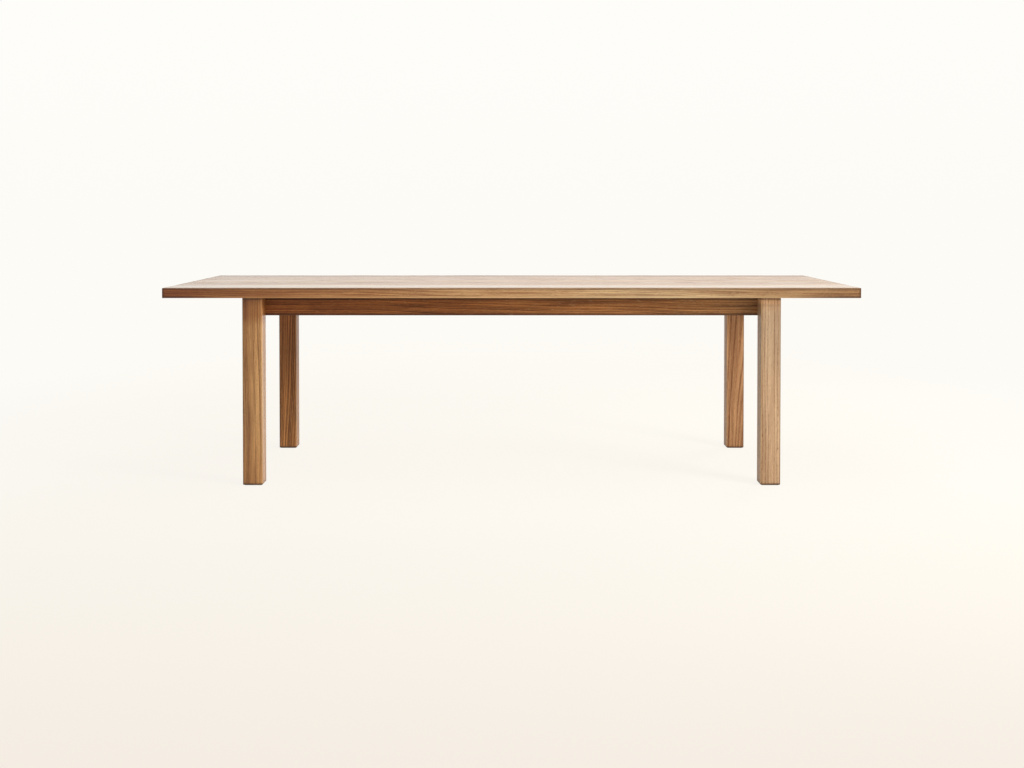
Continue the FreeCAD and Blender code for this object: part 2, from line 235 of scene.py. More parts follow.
def oak_colour(tree, cut, figure):
    """Pale to dark wood by the rings, their runs and the streaks together, then fibres, rays and pores."""
    depth = add(tree, "MapRange", {"Value": figure.ring_tone, "To Min": 0.26, "To Max": 0.58})
    depth = add(tree, "Math", {0: depth, 1: figure.early}, operation="MULTIPLY")
    run_depth = add(tree, "MapRange", {"Value": figure.runs, "From Min": 0.34, "From Max": 0.66,
                                       "To Max": 0.36}, interpolation_type="SMOOTHSTEP")
    streak_depth = add(tree, "MapRange", {"Value": figure.streaks, "From Min": 0.36, "From Max": 0.64,
                                          "To Max": 0.42}, interpolation_type="SMOOTHSTEP")
    depth = add(tree, "Math", {0: depth, 1: run_depth}, operation="ADD")
    depth = add(tree, "Math", {0: depth, 1: streak_depth}, operation="ADD", use_clamp=True)
    colour = add(tree, "Mix", {0: depth, MIX_A: linear(cut.pale), MIX_B: linear(cut.dark)}, out=MIXED,
                 data_type="RGBA")
    fibre_value = add(tree, "MapRange", {"Value": figure.fibres, "From Min": 0.25, "From Max": 0.75,
                                         "To Min": 0.78, "To Max": 1.20})
    colour = add(tree, "VectorMath", {0: colour, 1: fibre_value}, operation="MULTIPLY")
    for marks, strength, shade in ((figure.rays, 0.45, "E2C093"), (figure.pores, 0.70, "5E3A20")):
        share = add(tree, "Math", {0: marks, 1: strength}, operation="MULTIPLY")
        colour = add(tree, "Mix", {0: share, MIX_A: colour, MIX_B: linear(shade)}, out=MIXED,
                     data_type="RGBA")
    return colour


# ---- Oak: its finish, its wear, and painted light and shade ----

TOP_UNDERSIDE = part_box(TOP_BOARDS[0])[0].z

# Roughness and mirror of oak with several coats of oil, with one, and with none.
SEVERAL_COATS = (0.38, 0.45)
ONE_COAT = (0.42, 0.25)
BARE = (0.62, 0.2)

EDGE_BAND_WIDTH = 6 * MM               # width of the band beside the edges that is painted pale or dark, and smoother with wear

# Reach along X (m) up to which a piece's edges are painted pale as a highlight, and the reach from which
# they are darker.
DARK_EDGES = (0.0, 0.01)
PALE_EDGES = (1.0, 2.0)


def glue_lines(tree, y, sides, colour):
    """Darkens the last third of a millimetre of a board at its glued sides."""
    for side in sides:
        away = add(tree, "Math", {0: y, 1: side}, operation="SUBTRACT")
        away = add(tree, "Math", {0: away}, operation="ABSOLUTE")
        line = add(tree, "MapRange", {"Value": away, "From Min": 0.35 * MM, "From Max": 0.15 * MM,
                                      "To Max": 0.55})
        colour = add(tree, "Mix", {0: line, MIX_A: colour, MIX_B: linear("5C3D26")}, out=MIXED,
                     data_type="RGBA")
    return colour


def facing(tree):
    """1 on a piece's upper face and 0 elsewhere, then 1 on its front and 0 elsewhere. The limits are cosines
    of slopes that only the eased edges have.
    """
    normal = add(tree, "NewGeometry", out="True Normal")
    directions = add(tree, "SeparateXYZ", {0: normal}).node.outputs
    upward = add(tree, "MapRange", {"Value": directions["Z"], "From Min": 0.80, "From Max": 0.98})
    forward = add(tree, "MapRange", {"Value": directions["Y"], "From Min": -0.30, "From Max": -0.80})
    return upward, forward


def toned(tree, length, tones, colour, forward=None):
    """A piece is paler in some stretches than in others, as its own tone and as painted light and shade.
    Each tone is a place along the grain (m), a factor and how much redder the darker wood is there. With
    forward, only the front of the board is like that.
    """
    first, last = tones[0][0], tones[-1][0]
    share = add(tree, "MapRange", {"Value": length, "From Min": first, "From Max": last})
    tone = add(tree, "ValToRGB", {"Fac": share})
    ramp = tone.node.color_ramp
    ramp.interpolation = "EASE"
    # In redder wood green falls off faster than red, and blue faster still.
    shades = [(place, (factor, factor ** (1 + redness), factor ** (1 + 2 * redness), 1))
              for place, factor, redness in tones]
    ramp.elements[0].color = shades[0][1]
    ramp.elements[1].color = shades[-1][1]
    for place, shade in shades[1:-1]:
        ramp.elements.new((place - first) / (last - first)).color = shade
    darker = add(tree, "VectorMath", {0: colour, 1: tone}, operation="MULTIPLY")
    if forward is None:
        return darker
    return add(tree, "Mix", {0: forward, MIX_A: colour, MIX_B: darker}, out=MIXED, data_type="RGBA")


def tabletop_wear(tree, axes, upward, fibres, colour, dull, height):
    """End grain drinks more oil and is darker. The upper face is buffed, most of all where forearms rest."""
    end, front = cad_box[1].x, cad_box[0].y
    soaked, stained = 3 * MM, 11 * MM       # how far in from an end the oil is full, and how far it reaches
    ends = add(tree, "Math", {0: axes["X"]}, operation="ABSOLUTE")
    ends = add(tree, "MapRange", {"Value": ends, "From Min": end - stained, "From Max": end - soaked,
                                  "To Max": 0.60})
    colour = add(tree, "Mix", {0: ends, MIX_A: colour, MIX_B: linear("4A2C18")}, out=MIXED,
                 data_type="RGBA")
    # Forearms rest from 85 to 170 mm in from the front, and the wear fades raggedly on both sides of that.
    ragged = add(tree, "Math", {0: fibres, 1: 30 * MM, 2: axes["Y"]}, operation="MULTIPLY_ADD")
    forearms = upward
    for unworn, worn in ((50, 85), (270, 170)):
        rested_on = add(tree, "MapRange", {"Value": ragged, "From Min": front + unworn * MM,
                                           "From Max": front + worn * MM}, interpolation_type="SMOOTHSTEP")
        forearms = add(tree, "Math", {0: forearms, 1: rested_on}, operation="MULTIPLY")
    # The pale colour there is partly wear and partly a painted highlight of the sheen at the front of the
    # top.
    pale = add(tree, "Math", {0: forearms, 1: 0.30}, operation="MULTIPLY")
    colour = add(tree, "Mix", {0: pale, MIX_A: colour, MIX_B: linear("EFD7B3")}, out=MIXED,
                 data_type="RGBA")
    dull = add(tree, "Math", {0: upward, 1: -0.20, 2: dull}, operation="MULTIPLY_ADD")
    dull = add(tree, "Math", {0: ends, 1: 0.35, 2: dull}, operation="MULTIPLY_ADD")
    # Skin fills the pores there, so both their relief and their dullness go.
    polish = 0.13       # roughness of wood whose pores are full
    filled = add(tree, "Math", {0: forearms, 1: -0.85, 2: 1.0}, operation="MULTIPLY_ADD")
    height = add(tree, "Math", {0: height, 1: filled}, operation="MULTIPLY")
    dull = add(tree, "Math", {0: dull, 1: polish}, operation="SUBTRACT")
    dull = add(tree, "Math", {0: dull, 1: filled, 2: polish}, operation="MULTIPLY_ADD")
    return colour, dull, height


def arrises(tree, axes, at_edge, edge_tone_reach, upward, colour):
    """The eased edges near the middle of the table are painted pale, as a highlight where they catch the
    light, and the rest are darker. The reach pair gives the reach along X (m) where edges are pale and where
    they are dark.

    On the top, a line a few millimetres wide just below its upper edges is also darker, and its lower edges
    are painted pale over as wide a line, as a highlight.
    """
    reach = add(tree, "Math", {0: axes["X"]}, operation="ABSOLUTE")
    dark = add(tree, "MapRange", {"Value": reach, "From Min": edge_tone_reach[0], "From Max": edge_tone_reach[1]})
    if upward is not None:
        upper, lower = cad_box[1].z, TOP_UNDERSIDE
        below_upper_edge = add(tree, "MapRange", {"Value": axes["Z"], "From Min": upper - 10 * MM,
                                          "From Max": upper - 6 * MM})
        dark = add(tree, "Math", {0: dark, 1: below_upper_edge}, operation="MAXIMUM")
        sideways = add(tree, "Math", {0: 1.0, 1: upward}, operation="SUBTRACT")
        dark = add(tree, "Math", {0: dark, 1: sideways}, operation="MULTIPLY")
    tone = add(tree, "Mix", {0: dark, MIX_A: linear("E0BB8B"), MIX_B: linear("4A2B17")}, out=MIXED,
               data_type="RGBA")
    share = add(tree, "MapRange", {"Value": dark, "To Min": 0.45, "To Max": 0.64})
    share = add(tree, "Math", {0: at_edge, 1: share}, operation="MULTIPLY")
    if upward is not None:
        below_upper_edge = add(tree, "Math", {0: below_upper_edge, 1: 0.45}, operation="MULTIPLY")
        line = add(tree, "MapRange", {"Value": axes["Z"], "From Min": lower + 8 * MM,
                                      "From Max": lower + 6 * MM, "To Max": 0.58})
        line = add(tree, "Math", {0: line, 1: below_upper_edge}, operation="MAXIMUM")
        line = add(tree, "Math", {0: line, 1: sideways}, operation="MULTIPLY")
        share = add(tree, "Math", {0: share, 1: line}, operation="MAXIMUM")
    return add(tree, "Mix", {0: share, MIX_A: colour, MIX_B: tone}, out=MIXED, data_type="RGBA")


def darkened_foot(tree, axes, fibres, colour):
    """Darkens the wood over the last centimetre and a half above the floor, raggedly along its fibres."""
    foot_band = add(tree, "Math", {0: fibres, 1: 6 * MM, 2: axes["Z"]}, operation="MULTIPLY_ADD")
    foot_band = add(tree, "MapRange", {"Value": foot_band, "From Min": 15 * MM, "From Max": 8 * MM, "To Max": 0.85})
    return add(tree, "Mix", {0: foot_band, MIX_A: colour, MIX_B: linear("4A2E1C")}, out=MIXED, data_type="RGBA")


def painted_shade_under_top(tree, axes, depth, colour):
    """Painted shade in the corner under the top: the wood is darkened from the underside of the top down to
    a depth.
    """
    shade_under_top = add(tree, "MapRange", {"Value": axes["Z"], "From Min": TOP_UNDERSIDE - depth,
                                    "From Max": TOP_UNDERSIDE - depth + 5 * MM, "To Max": 0.65})
    return add(tree, "Mix", {0: shade_under_top, MIX_A: colour, MIX_B: linear("2E1A0E")}, out=MIXED, data_type="RGBA")


def darkened_lower_edge(tree, axes, fibres, lower_edge, colour):
    """Darkens a ragged line about a centimetre wide along the lower edge of a rail."""
    lower_band = add(tree, "Math", {0: fibres, 1: 2 * MM, 2: axes["Z"]}, operation="MULTIPLY_ADD")
    lower_band = add(tree, "MapRange", {"Value": lower_band, "From Min": lower_edge + 10 * MM,
                                   "From Max": lower_edge + 8 * MM, "To Max": 0.60})
    return add(tree, "Mix", {0: lower_band, MIX_A: colour, MIX_B: linear("3A1E0E")}, out=MIXED, data_type="RGBA")


def oak(name, cut, box, sheen=ONE_COAT, edge_tone_reach=DARK_EDGES, glue_sides=(), tones=(), ring_tones=(),
        foot=False, lower_edge_darkened=False, tabletop=False):
    """Solid oak, planed, sanded and oiled to a satin sheen, in which the open pores and the figure show.

    Sheen pairs its roughness with its mirror. The oil sinks in, so pores break up the sheen: a mirror below
    0.5 stands for that. Box is what its edge bands run round, which is the whole top for each of its boards.
    """
    material = new_material(name)
    tree = material.node_tree
    place = add(tree, "TexCoord", out="Object")
    axes = add(tree, "SeparateXYZ", {0: place}).node.outputs
    from_pith, radius = place_in_tree(tree, cut, axes)
    figure = oak_figure(tree, cut, from_pith, radius)
    fibres = figure.fibres

    upward, forward = facing(tree) if tabletop else (None, None)
    at_edge = edge_band(tree, place, box, EDGE_BAND_WIDTH)
    colour = oak_colour(tree, cut, figure)
    # The edges are painted pale as a highlight near the middle of the table and darker elsewhere.
    colour = arrises(tree, axes, at_edge, edge_tone_reach, upward, colour)
    colour = glue_lines(tree, axes["Y"], glue_sides, colour)
    if tones:
        colour = toned(tree, axes[cut.grain], tones, colour, forward)
    if ring_tones:
        colour = toned(tree, radius, ring_tones, colour)
    if foot:
        colour = darkened_foot(tree, axes, fibres, colour)

    dull, mirror = sheen
    for marks, change in ((figure.early, 0.10), (figure.pores, 0.22), (figure.rays, -0.08), (at_edge, -0.06)):
        dull = add(tree, "Math", {0: marks, 1: change, 2: dull}, operation="MULTIPLY_ADD")
    height = fibres
    for marks, change in ((figure.pores, -1.0), (figure.early, -0.5)):
        height = add(tree, "Math", {0: marks, 1: change, 2: height}, operation="MULTIPLY_ADD")
    if tabletop:
        colour, dull, height = tabletop_wear(tree, axes, upward, fibres, colour, dull, height)
    else:
        # Painted shade under the top reaches further down on rails than on legs.
        colour = painted_shade_under_top(tree, axes, 14 * MM if foot else 19 * MM, colour)
    if lower_edge_darkened:
        colour = darkened_lower_edge(tree, axes, fibres, box[0].z, colour)
    relief = add(tree, "Bump", {"Height": height, "Strength": 0.5, "Distance": 0.12 * MM})
    wood = add(tree, "BsdfPrincipled", {"Base Color": colour, "Roughness": dull, "IOR": 1.5,
                                        "Specular IOR Level": mirror, "Normal": relief})
    add(tree, "OutputMaterial", {"Surface": wood})
    return material


# ---- Oak: the pieces ----

def dress_top():
    """Seven flat-sawn boards with several coats of oil: the pith of each lies under it."""
    cuts = (
        Cut("X", (-520, 640), 0.4, 5.4, 50, "E4BB88", "8B5A35"),
        Cut("X", (-330, 610), 2.9, 5.8, 50, "DFB788", "A2714A"),
        Cut("X", (-118, 600), 5.1, 5.1, 50, "D8AD7C", "996944"),
        Cut("X", (40, 640), 7.7, 6.0, 50, "E2BE90", "A8784F"),
        Cut("X", (170, 575), 9.3, 5.5, 50, "DAB080", "9B6B46"),
        Cut("X", (270, 650), 11.8, 5.2, 50, "DFB88A", "A17049"),
        Cut("X", (470, 600), 14.2, 5.7, 50, "BE9060", "7C4E31"),
    )
    # The front face of the front board is darkest and reddest near its left end and palest right of its
    # middle:
    # partly its own tone and partly painted shade, as the light falls off toward its ends.
    front_tone_and_shade = ((-1.32, 0.44, 0.75), (-1.0, 0.63, 0.80), (-0.62, 0.76, 0.80), (-0.1, 0.89, 0.2),
                   (0.6, 0.81, -0.6), (1.0, 0.56, 0.0), (1.32, 0.42, 0.13))
    whole_top = (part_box(TOP_BOARDS[0])[0], cad_box[1])
    for node, cut in zip(TOP_BOARDS, cuts):
        low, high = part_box(node)
        glued = [side for side in (low.y, high.y) if cad_box[0].y < side < cad_box[1].y]
        dress(node, oak("oiled_oak_" + node, cut, whole_top, sheen=SEVERAL_COATS, edge_tone_reach=(1.0, 1.25),
                        glue_sides=glued, tones=front_tone_and_shade if node == TOP_BOARDS[0] else (),
                        tabletop=True))


def dress_frame():
    """Legs and rails have one coat of oil; the bearers underneath are only planed."""
    cuts = {
        "leg_front_left": Cut("Z", (-1130, -260), 1.2, 5.2, 16, "E4B47A", "805230", 5),
        # The right front leg's pale, greyish colours are partly its own tone and partly a painted sheen.
        "leg_front_right": Cut("Z", (880, -150), 4.3, 5.4, 22, "CBAB8A", "9A785B", 5),
        "leg_back_left": Cut("Z", (-860, 150), 6.6, 5.4, 18, "C98E57", "58310F"),
        "leg_back_right": Cut("Z", (1060, 560), 8.2, 5.6, 20, "C69A70", "734A30"),
        "long_rail_front": Cut("X", (-300, 560), 2.4, 5.6, 34, "C28650", "5E3416"),
        "long_rail_back": Cut("X", (290, 660), 5.5, 5.3, 34, "C58B56", "653A1B"),
        "end_rail_left": Cut("Y", (-930, 690), 1.1, 5.5, 34, "CB935B", "6C4120"),
        "end_rail_right": Cut("Y", (940, 670), 3.7, 5.5, 34, "D09A64", "734826"),
    }
    # Tones along the grain, partly each piece's own and partly painted light and shade: the left front leg
    # is darker near its top as painted shadow under the top, the right front leg is painted paler at its
    # very top, the left back leg is painted paler toward the floor, and the front rail is darker in its left
    # half and toward its right end as painted shade.
    tones = {
        "leg_front_left": ((0.0, 0.89, 1.1), (0.3, 0.98, 1.5), (0.6, 0.93, 0.8), (0.66, 0.63, 0.6),
                           (0.72, 0.65, 0.6)),
        "leg_front_right": ((0.0, 0.91, 0.0), (0.3, 0.91, -0.3), (0.66, 0.77, -0.3), (0.69, 0.88, -0.2),
                            (0.705, 1.35, 0.0), (0.72, 1.50, 0.0)),
        "leg_back_left": ((0.0, 1.18, 0.0), (0.12, 1.10, 0.0), (0.35, 0.91, 0.9), (0.72, 0.88, 1.5)),
        "long_rail_front": ((-1.0, 0.88, 1.6), (-0.3, 0.81, 0.7), (0.1, 1.04, 0.0), (0.42, 1.10, 0.6),
                            (1.0, 0.80, -0.9)),
    }
    # The left front leg is darker and redder across part of its front, and its inner front corner is painted
    # pale as a highlight where the light from the right falls. Each of these tones has its distance from the
    # pith (m) in place of a place along the grain.
    ring_tones = {
        "leg_front_left": ((0.205, 0.95, 0.0), (0.217, 0.95, 0.0), (0.229, 0.78, 0.3), (0.240, 1.05, 0.1),
                           (0.252, 1.12, 0.2), (0.263, 1.40, 0.3)),
    }
    # Buffed legs have a silky sheen along their faces.
    sheens = {"leg_front_left": (0.28, 0.40), "leg_back_left": (0.34, 0.32)}
    leg_outside, leg_inside = -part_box(LEGS[0])[0].x, -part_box(LEGS[0])[1].x
    # The legs' edges toward the inside of the table are painted pale as a highlight, and their outer edges
    # darker.
    inner_edges_pale = (leg_inside + 20 * MM, leg_outside - 20 * MM)
    for node, cut in cuts.items():
        is_leg = node in LEGS
        dress(node, oak("oiled_oak_" + node, cut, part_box(node), sheens.get(node, ONE_COAT),
                        inner_edges_pale if is_leg else DARK_EDGES, tones=tones.get(node, ()),
                        ring_tones=ring_tones.get(node, ()), foot=is_leg, lower_edge_darkened=not is_leg))
    bearers = {
        "cross_bearer_left": Cut("Y", (-300, 780), 1.9, 5.9, 34, "DCBB8E", "A1774C"),
        "cross_bearer_right": Cut("Y", (350, 640), 4.8, 5.7, 34, "D8B588", "9C7349"),
    }
    for node, cut in bearers.items():
        dress(node, oak("planed_oak_" + node, cut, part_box(node), sheen=BARE, edge_tone_reach=PALE_EDGES))


dress_top()
dress_frame()


# ---- Beech buttons, plywood tongues, plastic glides ----

def beech():
    """Steamed beech, planed and left bare: pinkish tan, even, with short dark flecks along the grain."""
    material = new_material("planed_beech")
    tree = material.node_tree
    place = add(tree, "TexCoord", out="Object")
    axes = add(tree, "SeparateXYZ", {0: place}).node.outputs
    # The grain runs through each button's tongue: across the table, but lengthwise at the two end rails.
    end_rails_from = 0.90
    at_end = add(tree, "Math", {0: axes["X"]}, operation="ABSOLUTE")
    at_end = add(tree, "Math", {0: at_end, 1: end_rails_from}, operation="GREATER_THAN")
    crosswise = add(tree, "CombineXYZ", {"X": axes["Y"], "Y": axes["X"], "Z": axes["Z"]})
    grain = add(tree, "Mix", {0: at_end, MIX_A: crosswise, MIX_B: place}, out=MIXED, data_type="RGBA")
    # Flecks are 0.3 mm wide and 3.5 mm long; they are drawn 0.5 mm wide.
    flecks = long_marks(tree, grain, 3.5, 0.5, {"Detail": 1.0})
    flecks = add(tree, "MapRange", {"Value": flecks, "From Min": 0.58, "From Max": 0.70})
    # Rings are about 3 mm apart.
    rings = long_marks(tree, grain, 110, 3, {"Detail": 3.0})
    ring_depth = add(tree, "MapRange", {"Value": rings, "From Min": 0.35, "From Max": 0.65})
    colour = add(tree, "Mix", {0: ring_depth, MIX_A: linear("E0BC95"), MIX_B: linear("C99D74")}, out=MIXED,
                 data_type="RGBA")
    fleck_depth = add(tree, "Math", {0: flecks, 1: 0.6}, operation="MULTIPLY")
    colour = add(tree, "Mix", {0: fleck_depth, MIX_A: colour, MIX_B: linear("9A6A45")}, out=MIXED,
                 data_type="RGBA")
    dull = add(tree, "MapRange", {"Value": rings, "To Min": 0.50, "To Max": 0.66})
    relief = add(tree, "Bump", {"Height": flecks, "Strength": 0.4, "Distance": -0.08 * MM})
    wood = add(tree, "BsdfPrincipled", {"Base Color": colour, "Roughness": dull, "IOR": 1.5,
                                        "Specular IOR Level": 0.3, "Normal": relief})
    add(tree, "OutputMaterial", {"Surface": wood})
    return material


def birch_plywood(node):
    """Five-ply birch, sanded: pale face veneers with darker cross plies between them."""
    material = new_material("sanded_birch_plywood")
    tree = material.node_tree
    place = add(tree, "TexCoord", out="Object")
    height = add(tree, "SeparateXYZ", {0: place}, out="Z")
    low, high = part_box(node)
    # Five plies are two and a half pairs of a pale ply and a darker one.
    ply = add(tree, "MapRange", {"Value": height, "From Min": low.z, "From Max": high.z, "To Max": 2.5})
    ply = add(tree, "Math", {0: ply}, operation="FRACT")
    cross_ply = add(tree, "Math", {0: ply, 1: 0.5}, operation="GREATER_THAN")
    # Fibres are drawn in bundles 0.9 mm wide and 30 mm long, so that they show.
    fibres = long_marks(tree, place, 30, 0.9, {"Detail": 3.0})
    colour = add(tree, "Mix", {0: fibres, MIX_A: linear("EBD3A8"), MIX_B: linear("D6B684")}, out=MIXED,
                 data_type="RGBA")
    cross_depth = add(tree, "Math", {0: cross_ply, 1: 0.55}, operation="MULTIPLY")
    colour = add(tree, "Mix", {0: cross_depth, MIX_A: colour, MIX_B: linear("A67C4F")}, out=MIXED,
                 data_type="RGBA")
    dull = add(tree, "MapRange", {"Value": fibres, "To Min": 0.55, "To Max": 0.70})
    relief = add(tree, "Bump", {"Height": fibres, "Strength": 0.3, "Distance": 0.08 * MM})
    wood = add(tree, "BsdfPrincipled", {"Base Color": colour, "Roughness": dull, "IOR": 1.5,
                                        "Specular IOR Level": 0.3, "Normal": relief})
    add(tree, "OutputMaterial", {"Surface": wood})
    return material


def moulded_nylon(node):
    """Brown nylon, moulded in a spark-eroded tool: a fine even grain, scuffed pale along its edges."""
    material = new_material("moulded_nylon_" + node)
    tree = material.node_tree
    place = add(tree, "TexCoord", out="Object")
    # Spark grain is 0.1 mm; it is drawn 0.5 mm coarse.
    grain = add(tree, "TexNoise", {"Vector": place, "Scale": 1 / (0.5 * MM), "Detail": 2.0}, out="Fac")
    # Grit on the floor leaves dull scuffs about 4 mm long.
    scuffs = add(tree, "TexNoise", {"Vector": place, "Scale": 1 / (4 * MM), "Detail": 4.0, "Roughness": 0.7,
                                    "Distortion": 1.5}, out="Fac")
    scuffs = add(tree, "MapRange", {"Value": scuffs, "From Min": 0.55, "From Max": 0.72})
    at_edge = edge_band(tree, place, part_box(node), 3 * MM)
    worn = add(tree, "Math", {0: at_edge, 1: 0.35, 2: scuffs}, operation="MULTIPLY_ADD")
    worn = add(tree, "Math", {0: worn, 1: 0.45}, operation="MULTIPLY", use_clamp=True)
    colour = add(tree, "Mix", {0: worn, MIX_A: linear("3B2A1E"), MIX_B: linear("8A7561")}, out=MIXED,
                 data_type="RGBA")
    dull = add(tree, "MapRange", {"Value": worn, "To Min": 0.45, "To Max": 0.75})
    relief = add(tree, "Bump", {"Height": grain, "Strength": 0.4, "Distance": 0.05 * MM})
    plastic = add(tree, "BsdfPrincipled", {"Base Color": colour, "Roughness": dull, "IOR": 1.53,
                                           "Normal": relief})
    add(tree, "OutputMaterial", {"Surface": plastic})
    return material


dress("top_buttons", beech())
dress("top_tongues", birch_plywood("top_tongues"))
for glide in GLIDES:
    dress(glide, moulded_nylon(glide))


# ---- Screws, bolts, nuts and washers ----

SIDES = 24                  # points round a turned or hexagonal ring: four on each side of a hexagon
CROWN_SLOPE = math.tan(math.radians(30))
THREAD_SLOPE = 2.6          # how steeply a thread rises to its crest, in crests per pitch
SHARP_FROM = math.radians(35)


def bright_zinc():
    """Cold-headed steel, zinc plated and passivated: bright grey with a faint blue and straw tint."""
    material = new_material("bright_zinc_plated_steel")
    tree = material.node_tree
    place = add(tree, "TexCoord", out="Object")
    # Tint clouds are about 6 mm across, spangle and handling marks 0.8 mm.
    clouds = add(tree, "TexNoise", {"Vector": place, "Scale": 1 / (6 * MM), "Detail": 2.0}, out="Fac")
    tint = add(tree, "ValToRGB", {"Fac": clouds})
    ramp = tint.node.color_ramp
    ramp.elements[0].color = linear("B7BFC9")
    ramp.elements[0].position = 0.35
    ramp.elements[1].color = linear("CBC6B4")
    ramp.elements[1].position = 0.66
    ramp.elements.new(0.5).color = linear("C6C9CB")
    marks = add(tree, "TexNoise", {"Vector": place, "Scale": 1 / (0.8 * MM), "Detail": 3.0,
                                   "Roughness": 0.7}, out="Fac")
    value = add(tree, "MapRange", {"Value": marks, "From Min": 0.3, "From Max": 0.7, "To Min": 0.86,
                                   "To Max": 1.04})
    colour = add(tree, "VectorMath", {0: tint, 1: value}, operation="MULTIPLY")
    dull = add(tree, "MapRange", {"Value": marks, "From Min": 0.3, "From Max": 0.7, "To Min": 0.24,
                                  "To Max": 0.42})
    relief = add(tree, "Bump", {"Height": marks, "Strength": 0.25, "Distance": 0.03 * MM})
    steel = add(tree, "BsdfPrincipled", {"Base Color": colour, "Metallic": 1.0, "Roughness": dull,
                                         "Normal": relief})
    add(tree, "OutputMaterial", {"Surface": steel})
    return material


def solids_of(node):
    """Lowest and highest corners of each separate solid in a CAD node, in order of place."""
    shape = bmesh.new()
    shape.from_mesh(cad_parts[node].data)
    bmesh.ops.remove_doubles(shape, verts=shape.verts, dist=0.001 * MM)
    boxes = []
    left = set(shape.verts)
    while left:
        solid = [left.pop()]
        for vert in solid:
            near = [edge.other_vert(vert) for edge in vert.link_edges]
            near = [other for other in near if other in left]
            left.difference_update(near)
            solid.extend(near)
        boxes.append(([min(v.co[axis] for v in solid) for axis in range(3)],
                      [max(v.co[axis] for v in solid) for axis in range(3)]))
    shape.free()
    return sorted(boxes)


def circle(radius, depth):
    """Ring round a circle: a radius and a depth (mm) for each of its points."""
    return [(radius, depth)] * SIDES


def hexagon(half_width, depth, crown=0.0):
    """Ring round a hexagon. Crown is the radius where a 30 degree chamfer starts, toward positive depth."""
    ring = []
    for point in range(SIDES):
        turn = math.radians(point * 360 / SIDES % 60 - 30)
        radius = half_width / math.cos(turn)
        cut = max(0.0, radius - crown) * CROWN_SLOPE if crown else 0.0
        ring.append((radius, depth + cut))
    return ring


def hexagon_end(half_width, depth, crown):
    """As hexagon, for the far end, where the chamfer takes depth away."""
    return [(radius, 2 * depth - cut) for radius, cut in hexagon(half_width, depth, crown)]


def square(half_width, corner, depth):
    """Ring round a square whose corners are cut back to a radius."""
    ring = []
    for point in range(SIDES):
        turn = math.radians(point * 360 / SIDES)
        ring.append((min(half_width / max(abs(math.cos(turn)), abs(math.sin(turn))), corner), depth))
    return ring


def thread(root, crest, pitch, start, end, rows_per_turn):
    """Rings of a helical thread. The radius rises to the crest once a turn, a step later for each point."""
    rings = []
    rows = int((end - start) / pitch * rows_per_turn)
    for row in range(rows + 1):
        depth = start + (end - start) * row / rows
        run_out = min(1.0, row / rows_per_turn, (rows - row) / rows_per_turn)
        ring = []
        for point in range(SIDES):
            phase = (depth / pitch - point / SIDES) % 1.0
            ridge = max(0.0, 1.0 - abs(phase - 0.5) * THREAD_SLOPE)
            ring.append((root + (crest - root) * ridge * run_out, depth))
        rings.append(ring)
    return rings


def build_rings(shape, rings, origin, axis, hollow):
    """Skins rings, each a list of radii and depths in mm, round an axis ("Z", "Y" or "-Y") from origin."""
    rows = []
    for ring in rings:
        row = []
        for point, (radius, depth) in enumerate(ring):
            turn = math.radians(point * 360 / SIDES)
            out = radius * MM * math.cos(turn)
            side = radius * MM * math.sin(turn)
            along = depth * MM
            offset = {"Z": (out, side, along), "Y": (out, along, side), "-Y": (out, -along, side)}[axis]
            row.append(shape.verts.new([a + b for a, b in zip(origin, offset)]))
        rows.append(row)
    pairs = list(zip(rows, rows[1:]))
    if hollow:
        pairs.append((rows[-1], rows[0]))
    else:
        shape.faces.new(rows[0])
        shape.faces.new(rows[-1])
    for near, far in pairs:
        for point in range(SIDES):
            after = (point + 1) % SIDES
            shape.faces.new((near[point], near[after], far[after], far[point]))


def hex_screw(length, head):
    """Hexagon-head wood screw 10 mm across flats: dished head, bearing collar, shank, thread and point."""
    half_width, crown = 5.0, 4.8
    collar, collar_start = 4.7, head - 0.35
    core, crest, pitch = 2.2, 2.9, 2.4
    shank_end, point_start = head + 6.0, length - 3.8
    dish = [circle(2.4, 0.45), circle(3.1, 0.05), circle(3.3, 0.0), circle(crown, 0.0)]
    sides = [hexagon(half_width, 0.0, crown), hexagon(half_width, collar_start)]
    shank = [circle(collar, collar_start), circle(collar, head), circle(core, head), circle(core, shank_end)]
    point = [circle(core, point_start), circle(0.9, length - 0.8), circle(0.3, length)]
    wood_thread = thread(core, crest, pitch, shank_end + 0.2, point_start - 0.2, 5)
    return dish + sides + shank + wood_thread + point


def hanger_bolt(length):
    """M10 hanger bolt: wood thread for the leg, plain middle, machine thread with a chamfered end."""
    crest = 5.0
    wood_core, wood_pitch, wood_end = 3.5, 4.5, 34.0
    middle, middle_start, middle_end = 4.5, 36.0, 50.0
    machine_core, machine_pitch = 4.15, 1.5
    point = [circle(0.4, 0.0), circle(1.6, 1.6), circle(3.4, 6.0)]
    plain = [circle(wood_core, wood_end + 0.4), circle(middle, middle_start), circle(middle, middle_end)]
    chamfer = [circle(machine_core, length - 0.9), circle(3.6, length)]
    wood_thread = thread(wood_core, crest, wood_pitch, 6.2, wood_end, 8)
    machine_thread = thread(machine_core, crest, machine_pitch, middle_end + 0.2, length - 1.0, 5)
    return point + wood_thread + plain + machine_thread + chamfer


def hex_nut(height):
    """Nut 17 mm across flats, chamfered on both faces and countersunk at both ends of its bore."""
    half_width, crown, bore, sink = 8.5, 8.1, 5.05, 0.6
    return [circle(bore, sink), circle(bore + sink, 0.0), circle(crown, 0.0),
            hexagon(half_width, 0.0, crown), hexagon_end(half_width, height, crown), circle(crown, height),
            circle(bore + sink, height), circle(bore, height - sink)]


